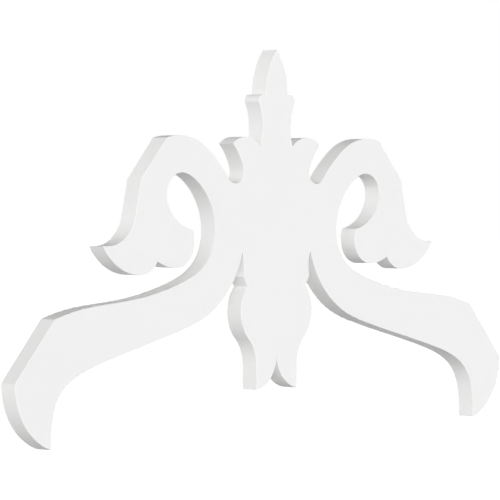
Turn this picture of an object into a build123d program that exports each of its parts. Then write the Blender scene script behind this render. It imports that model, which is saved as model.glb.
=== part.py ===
from build123d import *
import math
import os

# A gable pediment sawn as one piece from flat board: a spear finial over two leaf lobes,
# a scroll and a long arm on each side, and a forked drop below. All sizes are in millimetres.
# X runs across the gable and Z up it. The back face is at Y = 0 and the front at Y = -thickness.
# The right half is drawn flat, with Y standing for Z, and mirrored. A reach is a distance from
# the centreline. A height is measured from the datum, a level line 15 inches below the apex.
# A run goes outwards and a rise upwards from the point that the comment or the code names.

# The board and the roof lines that trim it
width = 914.4
thickness = 25.4
pitch_rise = 14.0
pitch_run = 12.0
apex_height = 381.0

# The spear finial, its collar and its neck
spear_length = 58.4
spear_width = 40.3
collar_width = 67.9
collar_depth = 9.2
collar_round = 8.0
neck_length = 58.4
neck_waist = 52.7
neck_root_width = 60.9
neck_root_rise = 34.5

# The leaf lobe beside the neck, and the round crotch between it and the scroll
lobe_reach = 82.0
lobe_rise = 3.2
lobe_bow = 10.5
crotch_inset = 4.8
crotch_drop = 36.1
crotch_radius = 15.2
crotch_head_angle = 162.8
crotch_foot_angle = -39.0

# The scroll's crown is a circle that the roof line trims flat. Its angles are in degrees.
crown_reach = 178.1
crown_radius = 83.6
crown_trim = 13.6
crown_start_angle = 126.6
leaf_root_angle = 42.1

# The eye that the scroll turns round. Its runs and drops are from its top.
crown_stroke = 47.0
eye_top_inset = 4.0
eye_right_run = 27.5
eye_right_drop = 27.2
eye_low_run = 18.1
eye_low_drop = 52.0
eye_shoulder_run = -24.5
eye_shoulder_drop = 9.1
eye_left_run = -59.3
eye_left_drop = 74.9
eye_foot_run = -45.4
eye_foot_drop = 112.2

# The leaf that the scroll ends in, and its lobe that curls back into the eye.
# Their runs and drops are from the eye's top.
leaf_run = 137.9
leaf_drop = 91.3
leaf_lip = 9.8
leaf_cove_radius = 47.1
leaf_belly_run = 72.4
leaf_belly_drop = 128.3
leaf_notch_run = 43.6
leaf_notch_drop = 111.5
curl_belly_run = 9.8
curl_belly_drop = 120.0
curl_tip_run = -18.8
curl_tip_drop = 73.3

# The arm, from under the eye to its foot. Its start is from the eye's top, the foot's shoulder
# from the inner end of the foot's cut, its neck from under the shoulder, its tip from the
# corner, and its cove from the tip.
arm_start_run = 5.1
arm_start_drop = 140.4
arm_start_depth = 59.9
arm_middle_sag = 4.4
arm_middle_depth = 63.6
foot_cut_run = 64.7
foot_shoulder_run = 36.1
foot_shoulder_rise = 9.4
foot_shoulder_depth = 80.6
foot_neck_run = 37.9
foot_neck_rise = 13.7
foot_toe = 2.8
foot_tip_run = 57.6
foot_tip_drop = 82.5
foot_cove_run = 15.8
foot_cove_rise = 66.6

# The drop that hangs between the arms, and the root of the arm beside it.
# Their runs and drops are from the armpit. The fork ends as wide as a saw blade cuts.
armpit_reach = 64.8
armpit_drop = 101.9
arm_root_run = 55.3
arm_root_drop = 74.8
waist_reach = 62.2
waist_drop = 32.2
waist_bow = 2.6
shoulder_reach = 54.7
shoulder_drop = 44.6
belly_bow = 14.1
belly_end_reach = 51.2
belly_end_drop = 113.7
stem_reach = 38.3
stem_top_drop = 147.4
drop_length = 178.8
fork_depth = 44.2
fork_kerf = 0.8

RIGHT, LEFT, UP, DOWN = (1, 0), (-1, 0), (0, 1), (0, -1)

# The ways that the free curves head where they end in a corner
curl_climb = (1, 0.17)
foot_fall = (1, -0.31)
armpit_climb = (-0.22, 1)


def roof_point(reach):
    """The point of the roof line at a distance from the centreline."""
    return Vector(reach, apex_height - reach * pitch_rise / pitch_run)


def circle_point(centre, radius, angle):
    """The point of a circle at an angle in degrees, counter-clockwise from the right."""
    turn = math.radians(angle)
    return centre + Vector(math.cos(turn), math.sin(turn)) * radius


def circle_arc(centre, radius, start_angle, end_angle):
    """The arc of a circle between two angles in degrees."""
    angles = (start_angle, (start_angle + end_angle) / 2, end_angle)
    return ThreePointArc(*[circle_point(centre, radius, angle) for angle in angles])


def circle_heading(angle):
    """The way that a circle runs at an angle in degrees, travelled counter-clockwise."""
    return circle_point(Vector(0, 0), 1, angle + 90)


def touch_point(start, centre, radius):
    """Where the line from start that keeps the circle on its left touches it."""
    to_centre = centre - start
    turn = math.degrees(math.asin(radius / to_centre.length))
    touch = math.sqrt(to_centre.length**2 - radius**2)
    return start + to_centre.normalized().rotate(Axis.Z, -turn) * touch


def region(*edges):
    """The flat face inside a closed run of edges."""
    return make_face(Wire(edges))


# The roof line passes the crown's centre at the radius less the trim, measured square to it
roof_stretch = math.hypot(pitch_rise, pitch_run) / pitch_run
crown_centre = roof_point(crown_reach) - Vector(0, (crown_radius - crown_trim) * roof_stretch)
crown_top = circle_point(crown_centre, crown_radius, 90)
eye_top = crown_top - Vector(eye_top_inset, crown_stroke)

# The neck and the drop keep their level with the eye. These points are in more than one region.
neck_root = Vector(neck_root_width / 2, eye_top.Y + neck_root_rise)
lobe_tip = Vector(lobe_reach, neck_root.Y + lobe_rise)
crotch_centre = lobe_tip + Vector(-crotch_inset, -crotch_drop)
crotch_floor = circle_point(crotch_centre, crotch_radius, -90)
armpit = Vector(armpit_reach, eye_top.Y - armpit_drop)
trunk_foot = Vector(0, armpit.Y)


def finial():
    """The spear, its collar and the neck that stands between the lobes."""
    neck_top_height = neck_root.Y + neck_length
    collar_top_height = neck_top_height + collar_depth
    tip = (0, collar_top_height + spear_length)
    spear_base = (spear_width / 2, collar_top_height)
    round_start = (collar_width / 2 - collar_round, collar_top_height)
    round_end = (collar_width / 2, collar_top_height - collar_round)
    neck_top = (collar_width / 2, neck_top_height)
    neck_middle = (neck_waist / 2, neck_root.Y + neck_length / 2)
    trunk_corner = (neck_root.X, armpit.Y)
    return region(
        TangentArc(spear_base, tip, tangent=UP),
        Line(spear_base, round_start),
        TangentArc(round_start, round_end, tangent=RIGHT),
        Line(round_end, neck_top),
        ThreePointArc(neck_top, neck_middle, neck_root),
        Line(neck_root, trunk_corner),
        Line(trunk_corner, trunk_foot),
        Line(trunk_foot, tip),
    )


def lobe():
    """The leaf lobe beside the neck, with the trunk of the board under it."""
    crotch_head = circle_point(crotch_centre, crotch_radius, crotch_head_angle)
    up_the_side = -circle_heading(crotch_head_angle)
    return region(
        SagittaArc(neck_root, lobe_tip, lobe_bow),
        TangentArc(crotch_head, lobe_tip, tangent=up_the_side),
        circle_arc(crotch_centre, crotch_radius, crotch_head_angle, 270),
        Line(crotch_floor, armpit),
        Line(armpit, trunk_foot),
        Line(trunk_foot, (0, neck_root.Y)),
        Line((0, neck_root.Y), neck_root),
    )


def scroll_and_arm():
    """The scroll's back up to its crown, the left side of the eye, and the arm to its foot."""
    crotch_foot = circle_point(crotch_centre, crotch_radius, crotch_foot_angle)
    crown_start = circle_point(crown_centre, crown_radius, crown_start_angle)
    down_the_back = circle_heading(crown_start_angle)

    eye_shoulder = eye_top + Vector(eye_shoulder_run, -eye_shoulder_drop)
    eye_left = eye_top + Vector(eye_left_run, -eye_left_drop)
    eye_foot = eye_top + Vector(eye_foot_run, -eye_foot_drop)
    arm_start = eye_top + Vector(arm_start_run, -arm_start_drop)

    corner = roof_point(width / 2)
    cut_end = roof_point(width / 2 - foot_cut_run)
    toe = corner - Vector(0, foot_toe)
    tip = corner - Vector(foot_tip_run, foot_tip_drop)
    cove = tip + Vector(-foot_cove_run, foot_cove_rise)
    foot_shoulder = cut_end + Vector(-foot_shoulder_run, foot_shoulder_rise)
    arm_middle = (arm_start + foot_shoulder) / 2 - Vector(0, arm_middle_sag)

    top_points = [eye_top, eye_shoulder, eye_left, eye_foot]
    top_points += [arm_start, arm_middle, foot_shoulder, cut_end]
    under_shoulder = foot_shoulder - Vector(0, foot_shoulder_depth)
    bottom_points = [
        tip,
        cove,
        under_shoulder,
        under_shoulder + Vector(-foot_neck_run, foot_neck_rise),
        arm_middle - Vector(0, arm_middle_depth),
        arm_start - Vector(0, arm_start_depth),
        armpit + Vector(arm_root_run, -arm_root_drop),
        armpit,
    ]
    return region(
        circle_arc(crotch_centre, crotch_radius, -90, crotch_foot_angle),
        TangentArc(crown_start, crotch_foot, tangent=down_the_back),
        circle_arc(crown_centre, crown_radius, crown_start_angle, 90),
        Line(crown_top, eye_top),
        Spline(top_points, tangents=(LEFT, foot_fall), tangent_scalars=(1, 1)),
        Line(cut_end, corner),
        Line(corner, toe),
        TangentArc(toe, tip, tangent=DOWN),
        Spline(bottom_points, tangents=(UP, armpit_climb), tangent_scalars=(1, 1)),
        Line(armpit, trunk_foot),
        Line(trunk_foot, (0, crotch_floor.Y)),
        Line((0, crotch_floor.Y), crotch_floor),
    )


def leaf():
    """The right side of the scroll, its leaf, and the lobe that curls back into the eye."""
    root = circle_point(crown_centre, crown_radius, leaf_root_angle)
    tip = eye_top + Vector(leaf_run, -leaf_drop)
    lip = tip - Vector(leaf_lip, 0)
    cove_centre = lip + Vector(0, leaf_cove_radius)
    cove_start = touch_point(root, cove_centre, leaf_cove_radius)
    belly = eye_top + Vector(leaf_belly_run, -leaf_belly_drop)
    notch = eye_top + Vector(leaf_notch_run, -leaf_notch_drop)
    curl_belly = eye_top + Vector(curl_belly_run, -curl_belly_drop)
    curl_tip = eye_top + Vector(curl_tip_run, -curl_tip_drop)
    eye_low = eye_top + Vector(eye_low_run, -eye_low_drop)
    eye_right = eye_top + Vector(eye_right_run, -eye_right_drop)
    eye_points = [curl_tip, eye_low, eye_right]
    return region(
        circle_arc(crown_centre, crown_radius, 90, leaf_root_angle),
        Line(root, cove_start),
        TangentArc(lip, cove_start, tangent=LEFT),
        Line(lip, tip),
        TangentArc(belly, tip, tangent=RIGHT),
        TangentArc(belly, notch, tangent=LEFT),
        TangentArc(curl_belly, notch, tangent=RIGHT),
        TangentArc(curl_belly, curl_tip, tangent=LEFT),
        Spline(eye_points, tangents=(curl_climb, UP), tangent_scalars=(1, 1)),
        TangentArc(eye_right, eye_top, tangent=UP),
        Line(eye_top, crown_top),
    )


def drop():
    """The drop between the arms: waisted, bellied, and forked at its foot."""
    waist = armpit - Vector(armpit_reach - waist_reach, waist_drop)
    shoulder = (shoulder_reach, armpit.Y - shoulder_drop)
    belly_end = (belly_end_reach, armpit.Y - belly_end_drop)
    stem_top = (stem_reach, armpit.Y - stem_top_drop)
    tip = (stem_reach, armpit.Y - drop_length)
    fork_centre = Vector(0, tip[1] + fork_depth)
    fork_top = circle_point(fork_centre, fork_kerf / 2, 90)
    fork_side = circle_point(fork_centre, fork_kerf / 2, 0)
    return region(
        SagittaArc(waist, armpit, waist_bow),
        Line(waist, shoulder),
        SagittaArc(shoulder, belly_end, belly_bow),
        TangentArc(stem_top, belly_end, tangent=UP),
        Line(stem_top, tip),
        TangentArc(fork_side, tip, tangent=DOWN),
        circle_arc(fork_centre, fork_kerf / 2, 0, 90),
        Line(fork_top, trunk_foot),
        Line(trunk_foot, armpit),
    )


def under_the_roof():
    """All that lies below the right-hand roof line."""
    far = roof_point(width)
    floor = far.Y - width
    corners = [(0, floor), (far.X, floor), far, (0, apex_height)]
    return make_face(Polyline(corners, close=True))


def pediment():
    """Both halves as one board, with its front towards -Y."""
    half = finial() + lobe() + scroll_and_arm() + leaf() + drop()
    half &= under_the_roof()
    outline = half + mirror(half, about=Plane.YZ)
    return extrude(Plane.XZ * outline, amount=thickness)


os.makedirs("parts", exist_ok=True)
board = pediment()
export_step(board, "parts/pediment_board.step")
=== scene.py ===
# %% [markdown]
# A gable pediment is the sawn ornament that fills the peak of a steep roof. This one is cut in
# one piece from cellular PVC board, an inch thick. There is nothing to assemble, so all the work
# goes into clean curves, lightly eased edges, and a finish that tells the smooth skin of the
# board from its sawn edge. The construction model gives the true shape and place. This lesson
# makes the finished board from it, then lights it and photographs it.

# %% Load the construction model
import math

import bmesh
import bpy
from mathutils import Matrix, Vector


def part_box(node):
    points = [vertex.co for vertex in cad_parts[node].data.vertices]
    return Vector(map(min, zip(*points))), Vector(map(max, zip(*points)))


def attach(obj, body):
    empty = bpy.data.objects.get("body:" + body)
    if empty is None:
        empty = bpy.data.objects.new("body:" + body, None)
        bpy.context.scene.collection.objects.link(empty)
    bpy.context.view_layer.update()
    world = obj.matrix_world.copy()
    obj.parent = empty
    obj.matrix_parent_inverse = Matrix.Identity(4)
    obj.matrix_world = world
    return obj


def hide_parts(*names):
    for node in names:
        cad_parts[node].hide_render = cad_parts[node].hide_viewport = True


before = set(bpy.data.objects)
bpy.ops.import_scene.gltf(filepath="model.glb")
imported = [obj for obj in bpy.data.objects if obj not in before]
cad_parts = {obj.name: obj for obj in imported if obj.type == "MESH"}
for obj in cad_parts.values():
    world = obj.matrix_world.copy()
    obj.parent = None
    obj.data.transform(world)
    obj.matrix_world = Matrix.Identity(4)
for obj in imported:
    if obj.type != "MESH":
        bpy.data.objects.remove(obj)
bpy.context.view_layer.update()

NODE = "pediment_board"
MILLIMETRE = 0.001

low_corner, high_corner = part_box(NODE)
print("board, in mm:", [round(side / MILLIMETRE, 1) for side in high_corner - low_corner])

# %% [markdown]
# The model arrives as loose triangles. A saw sees something simpler: two flat faces, and one
# wall that runs round the outline. Merging the doubled corners closes the surface, and
# dissolving the edges between coplanar triangles gives the flat faces back. Drawing the outline
# again by hand would only lose accuracy.

# %% Merge the triangles into whole faces
MERGE_DISTANCE = 0.001 * MILLIMETRE
COPLANAR = math.radians(0.05)
FLAT = 0.9  # a face that looks along Y by more than this is the front or the back


def merged_copy(node):
    """A node's mesh as a closed bmesh, with each flat side as one face."""
    copy = bmesh.new()
    copy.from_mesh(node.data)
    bmesh.ops.remove_doubles(copy, verts=copy.verts, dist=MERGE_DISTANCE)
    bmesh.ops.dissolve_limit(copy, angle_limit=COPLANAR, verts=copy.verts, edges=copy.edges)
    copy.normal_update()
    return copy


def flat_faces(mesh):
    """The front and the back of the board."""
    return [face for face in mesh.faces if abs(face.normal.y) > FLAT]


board = merged_copy(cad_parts[NODE])
print("corners round each flat face:", [len(face.verts) for face in flat_faces(board)])

# %% [markdown]
# Curves arrive as short straight facets that turn about 8 degrees at each corner. The eye finds
# such facets along a rim. Every facet can be split in two and its middle pushed out to where the
# curve runs, because the curve's heading at each end tells how far it bows: for headings a and b
# over a length, the middle stands off the chord by length * (a - b) / 8. Twice over, that leaves
# about 2 degrees. A long facet is a straight cut, and a sharp turn is a real corner, so both stay.

# %% Bow the facets out to the true curve
CORNER_TURN = math.radians(15)
STRAIGHT_CUT = 20 * MILLIMETRE
ROUNDING_PASSES = 2


def end_headings(points, index):
    """The curve's heading at both ends of the facet that starts at a corner of the outline."""
    before, start, end, after = (points[(index + step) % len(points)] for step in (-1, 0, 1, 2))
    facet = end - start
    headings = []
    for neighbour in (start - before, after - end):
        turn = facet.angle(neighbour)
        if turn > CORNER_TURN:
            headings.append(facet.normalized())
        elif neighbour.length > STRAIGHT_CUT:
            headings.append(neighbour.normalized())
        else:
            blend = facet.normalized() * neighbour.length + neighbour.normalized() * facet.length
            headings.append(blend.normalized())
    return headings


def bow_out(mesh):
    """Splits each short facet of the wall down its middle, and moves the middle onto the curve."""
    plans = []
    for face in flat_faces(mesh):
        points = [corner.co.copy() for corner in face.verts]
        for index, side in enumerate(face.loops):
            chord = side.edge.calc_length()
            if chord < STRAIGHT_CUT:
                leaving, arriving = end_headings(points, index)
                plans.append((side.edge, (leaving - arriving) * chord / 8))
    middles = set()
    for facet, bow in plans:
        _, middle = bmesh.utils.edge_split(facet, facet.verts[0], 0.5)
        middle.co += bow
        middles.add(middle)
    for face in list(mesh.faces):
        across = [corner for corner in face.verts if corner in middles]
        if len(across) == 2:
            bmesh.utils.face_split(face, *across)
    mesh.normal_update()
    return max(bow.length for _, bow in plans)


for _ in range(ROUNDING_PASSES):
    print("largest bow, in mm:", round(bow_out(board) / MILLIMETRE, 3))

# %% [markdown]
# A sawn edge is sharp to the eye but not to the hand: a pass with fine paper takes off about a
# third of a millimetre. A bevel along both outlines gives that small round, and it catches a
# thin line of light wherever the edge turns towards a lamp. Rounding and easing can step a
# hundredth of a millimetre past the model's box at a tip, so each vertex is brought back to it.

# %% Ease both outlines
EASE = 0.3 * MILLIMETRE
EASE_SEGMENTS = 3


def is_rim(edge):
    """True where the wall meets the front or the back."""
    return sum(abs(face.normal.y) > FLAT for face in edge.link_faces) == 1


rims = [edge for edge in board.edges if is_rim(edge)]
print("rim edges to ease:", len(rims))
bmesh.ops.bevel(
    board,
    geom=rims,
    offset=EASE,
    offset_type="OFFSET",
    affect="EDGES",
    segments=EASE_SEGMENTS,
    profile=0.5,
    material=-1,
    clamp_overlap=False,
)
for corner in board.verts:
    limits = zip(low_corner, corner.co, high_corner)
    corner.co = [max(low, min(high, at)) for low, at, high in limits]

# %% [markdown]
# The wall is shaded smooth so that its curves read as curves, but only along the outline. Shaded
# together with the ease, it would look rolled from front to back, because every vertex blends the
# directions of all the smooth faces round it. So an edge stays smooth only between two faces of
# one kind, and only where the outline doesn't turn a sharp corner.

# %% Shade the curves smooth and keep the corners crisp
WALL, EASED, FACE = range(3)
ALONG_WALL = 0.1  # a face of the wall looks along Y by less than this
ALONG_FACE = 0.999  # a flat face looks along Y by more than this
SHARP_TURN = math.radians(31.5)  # just over the 30 degrees between two strips of the ease


def kind_of_face(face):
    """Wall, ease or flat face, told by how far the face looks along Y."""
    along_y = abs(face.normal.y)
    if along_y < ALONG_WALL:
        return WALL
    if along_y > ALONG_FACE:
        return FACE
    return EASED


def is_one_curve(edge):
    """True where both faces of an edge are parts of the same smooth curve."""
    kinds = {kind_of_face(face) for face in edge.link_faces}
    return len(kinds) == 1 and edge.calc_face_angle(0) < SHARP_TURN


board.normal_update()
for face in board.faces:
    face.smooth = kind_of_face(face) != FACE
for edge in board.edges:
    edge.smooth = is_one_curve(edge)
print("open edges:", sum(not edge.is_manifold for edge in board.edges))

# %% [markdown]
# The mesh becomes an object at the origin, with its place in its vertices. It rides on the model's
# only body, the construction node is hidden in its place, and it belongs to the board's finish.

# %% Make the board an object
def as_object(mesh_in_work, name):
    """Turns a bmesh into an object at the origin."""
    mesh = bpy.data.meshes.new(name)
    mesh_in_work.to_mesh(mesh)
    mesh_in_work.free()
    made = bpy.data.objects.new(name, mesh)
    bpy.context.scene.collection.objects.link(made)
    return made


sawn_board = as_object(board, "sawn_board")
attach(sawn_board, "root")
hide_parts(NODE)
print("triangles:", sum(len(face.vertices) - 2 for face in sawn_board.data.polygons))

# %% [markdown]
# Shader maths is easier to read as maths. An Amount is a number that varies over the surface,
# and adding or multiplying two of them adds the Math node. A Finish holds one node tree and
# makes every other node through a single method.

# %% Write shader maths as Python
class Amount:
    """A socket of a finish, ready for arithmetic."""

    def __init__(self, finish, socket):
        self.finish = finish
        self.socket = socket

    def combined(self, operation, first, second):
        return self.finish.node("ShaderNodeMath", {"operation": operation}, {0: first, 1: second})

    def __add__(self, other):
        return self.combined("ADD", self, other)

    def __mul__(self, other):
        return self.combined("MULTIPLY", self, other)

    def __rsub__(self, other):
        return self.combined("SUBTRACT", other, self)

    __radd__ = __add__
    __rmul__ = __mul__


class Finish:
    """One node tree whose nodes all come from the same method."""

    def __init__(self, owner):
        owner.use_nodes = True
        self.tree = owner.node_tree
        self.tree.nodes.clear()

    def node(self, kind, settings=None, sockets=None, output=0):
        """Adds a node: its settings first, then the values or links of its sockets."""
        made = self.tree.nodes.new(kind)
        for name, value in (settings or {}).items():
            setattr(made, name, value)
        for name, value in (sockets or {}).items():
            if isinstance(value, Amount):
                self.tree.links.new(value.socket, made.inputs[name])
            else:
                made.inputs[name].default_value = value
        return Amount(self, made.outputs[output]) if made.outputs else made

    def noise(self, place, grain_size, stretch=(1, 1, 1), detail=2):
        """Smooth noise from 0 to 1 with grains of one size, drawn out along an axis if wanted."""
        scale = tuple(1 / (grain_size * along) for along in stretch)
        vector = self.node("ShaderNodeMapping", {}, {"Vector": place, "Scale": scale})
        grain = {"Vector": vector, "Scale": 1.0, "Detail": detail}
        return self.node("ShaderNodeTexNoise", {}, grain)


# %% [markdown]
# Cellular PVC has two surfaces. Its faces are a moulded skin: satin, faintly dimpled like an
# egg's shell, and slightly drawn out along the length of the sheet. Its edges are the foam that
# the cutter opened: drier, with fine score lines straight across the thickness and pores a third
# of a millimetre wide. Both are nearly the same plain white. The surface's own direction tells
# them apart: it looks along Y on a face, and never on the wall.

# %% Finish the board
SKIN_WHITE = (0.868, 0.868, 0.864, 1)
SKIN_SHADE = (0.846, 0.847, 0.845, 1)
CORE_WHITE = (0.872, 0.870, 0.864, 1)
SKIN_ROUGHNESS = 0.46
CORE_ROUGHNESS = 0.68
ROUGHNESS_SPREAD = 0.08
CLOUD_SIZE = 90 * MILLIMETRE
DIMPLE_SIZE = 1.6 * MILLIMETRE
DIMPLE_DEPTH = 0.012
SHEET_STRETCH = (3, 1, 1)
SCORE_SIZE = 1.1 * MILLIMETRE
SCORE_DEPTH = 0.02
SCORE_STRETCH = (1, 60, 1)
PORE_SIZE = 0.3 * MILLIMETRE
PORE_DEPTH = 0.015
PLASTIC_IOR = 1.5


def mix_colours(finish, factor, first, second):
    """Blends two colours by an amount."""
    sockets = {0: factor, 6: first, 7: second}  # by number, because several share a name
    return finish.node("ShaderNodeMix", {"data_type": "RGBA"}, sockets, output=2)


def board_finish():
    """Satin skin on both faces, and a dry scored edge where the cutter ran."""
    material = bpy.data.materials.new("cellular_pvc")
    finish = Finish(material)
    place = finish.node("ShaderNodeTexCoord", output="Object")
    direction = finish.node("ShaderNodeTexCoord", output="Normal")
    along_y = finish.node("ShaderNodeSeparateXYZ", {}, {"Vector": direction}, output="Y")
    size_only = {"operation": "ABSOLUTE", "use_clamp": True}
    on_skin = finish.node("ShaderNodeMath", size_only, {0: along_y})
    on_core = 1 - on_skin

    cloud = finish.noise(place, CLOUD_SIZE)
    dimples = finish.noise(place, DIMPLE_SIZE, SHEET_STRETCH)
    scores = finish.noise(place, SCORE_SIZE, SCORE_STRETCH, detail=1)
    pores = finish.noise(place, PORE_SIZE, detail=1)

    skin_colour = mix_colours(finish, cloud, SKIN_SHADE, SKIN_WHITE)
    colour = mix_colours(finish, on_core, skin_colour, CORE_WHITE)
    drier = on_core * (CORE_ROUGHNESS - SKIN_ROUGHNESS)
    roughness = SKIN_ROUGHNESS + drier + cloud * ROUGHNESS_SPREAD
    sawn = scores * SCORE_DEPTH + pores * PORE_DEPTH
    relief = on_skin * dimples * DIMPLE_DEPTH + on_core * sawn
    bump = finish.node("ShaderNodeBump", {}, {"Height": relief, "Distance": MILLIMETRE})
    surface = finish.node(
        "ShaderNodeBsdfPrincipled",
        {},
        {"Base Color": colour, "Roughness": roughness, "IOR": PLASTIC_IOR, "Normal": bump},
    )
    finish.node("ShaderNodeOutputMaterial", {}, {"Surface": surface})
    return material


sawn_board.data.materials.append(board_finish())
print("finish:", sawn_board.data.materials[0].name)

# %% [markdown]
# The board is photographed alone on white, and no shadow shows near it. So the floor is a pale
# sheet well below the feet. Its own colour is a light grey that takes the board's shadow, and a
# glow that only the camera and reflections see brings it up to white without more light on the
# board. The floor itself casts no shadow, because it would cut off the lower part of each
# softbox below.

# %% Lay the floor
FLOOR_DROP = 120 * MILLIMETRE
FLOOR_SIDE = 40  # metres, so that its edge stays far off
FLOOR_COLOUR = (0.8, 0.8, 0.8, 1)
FLOOR_GLOW = 0.84


def seen_directly(finish):
    """1 for the camera and for mirror-like and clear surfaces, and 0 for soft light."""
    camera_ray, glossy_ray, clear_ray = (
        finish.node("ShaderNodeLightPath", output=f"Is {kind} Ray")
        for kind in ("Camera", "Glossy", "Transmission")
    )
    return camera_ray + glossy_ray + clear_ray


def floor_finish():
    """A pale matt sheet that glows for the camera and in reflections."""
    material = bpy.data.materials.new("pale_floor")
    finish = Finish(material)
    glow = seen_directly(finish) * FLOOR_GLOW
    sheet = finish.node("ShaderNodeBsdfDiffuse", {}, {"Color": FLOOR_COLOUR})
    light = finish.node("ShaderNodeEmission", {}, {"Strength": glow})
    both = finish.node("ShaderNodeAddShader", {}, {0: sheet, 1: light})
    finish.node("ShaderNodeOutputMaterial", {}, {"Surface": both})
    return material


sheet = bmesh.new()
bmesh.ops.create_grid(sheet, x_segments=1, y_segments=1, size=FLOOR_SIDE / 2)
bmesh.ops.translate(sheet, verts=sheet.verts, vec=(0, 0, low_corner.z - FLOOR_DROP))
floor = as_object(sheet, "studio_floor")
floor.data.materials.append(floor_finish())
floor.visible_shadow = False
print("floor height, in mm:", round((low_corner.z - FLOOR_DROP) / MILLIMETRE))

# %% [markdown]
# The room gives a dim, soft light, which is what fills the shadows. The photograph shows edges
# that look straight up nearly as dark as edges that look down, so the room fades from its full
# light at the horizon to none straight overhead. The same room looks plain white to the camera
# and in reflections.

# %% Fill the room with soft light
WHITE = (1, 1, 1, 1)
ROOM_LIGHT = 0.3
ROOM_SEEN = 1.0


def white_room():
    """A world that lights softly, less from above, and looks white."""
    world = bpy.data.worlds.new("white_room")
    finish = Finish(world)
    towards = finish.node("ShaderNodeTexCoord", output="Generated")
    height = finish.node("ShaderNodeSeparateXYZ", {}, {"Vector": towards}, output="Z")
    overhead = finish.node("ShaderNodeMath", {"operation": "MAXIMUM"}, {0: height, 1: 0.0})
    light = (1 - overhead) * ROOM_LIGHT
    seen = seen_directly(finish)
    strength = light * (1 - seen) + seen * ROOM_SEEN
    sky = finish.node("ShaderNodeBackground", {}, {"Color": WHITE, "Strength": strength})
    finish.node("ShaderNodeOutputWorld", {}, {"Surface": sky})
    return world


bpy.context.scene.world = white_room()

# %% [markdown]
# Softboxes do the rest. The photograph shows the front and the left edges bright and even from
# end to end, and the edges that look up or down darker, so the main lights stand low at the front
# and the left. A softbox near the board would fade along its width. A sun lamp with a wide disc
# is the same soft light from far away. A weaker one behind, on the right, lights the sides that
# the photograph doesn't show. It hangs a little below level, so that little of it falls on the
# floor or on the upper edges that the camera sees.

# %% Hang the softboxes
def softbox(name, degrees_left, degrees_up, degrees_wide, level):
    """Soft far light, at a level where 1 shows a white face that looks at it as full white."""
    left = math.radians(degrees_left)
    up = math.radians(degrees_up)
    towards = Vector((-math.sin(left) * math.cos(up), -math.cos(left) * math.cos(up), math.sin(up)))
    lamp = bpy.data.lights.new(name, "SUN")
    lamp.angle = math.radians(degrees_wide)
    lamp.energy = level * math.pi
    hung = bpy.data.objects.new(name, lamp)
    hung.rotation_euler = towards.to_track_quat("Z", "Y").to_euler()
    bpy.context.scene.collection.objects.link(hung)


softbox("front_softbox", degrees_left=33, degrees_up=10, degrees_wide=50, level=0.935)
softbox("left_softbox", degrees_left=85, degrees_up=10, degrees_wide=60, level=0.27)
softbox("rear_softbox", degrees_left=-135, degrees_up=-5, degrees_wide=30, level=0.3)
print("lamps:", [lamp.name for lamp in bpy.data.lights])

# %% [markdown]
# The camera stands where the photographer stood: left of the board by 46.3 degrees, almost
# level, about 4 metres away behind a long lens. The corners of the board in the photograph fix
# both angles. They fix the distance only roughly, because a long lens flattens depth. The lens
# and the sensor are in millimetres, and AIM is the point in the middle of the frame.

# %% Place the camera
YAW = math.radians(46.3)
DIP = math.radians(1.0)
DISTANCE = 4.1
AIM = Vector((-0.2, 22.8, 1.8)) * MILLIMETRE
LENS = 225.06
SENSOR = 36

view = Vector((math.sin(YAW) * math.cos(DIP), math.cos(YAW) * math.cos(DIP), -math.sin(DIP)))
lens = bpy.data.cameras.new("camera")
lens.lens = LENS
lens.sensor_width = SENSOR
camera = bpy.data.objects.new("camera", lens)
camera.location = AIM - view * DISTANCE
camera.rotation_euler = (math.pi / 2 - DIP, 0, -YAW)
bpy.context.scene.collection.objects.link(camera)
bpy.context.scene.camera = camera
bpy.context.scene.view_settings.view_transform = "Standard"
print("camera, in m:", [round(value, 4) for value in camera.location])
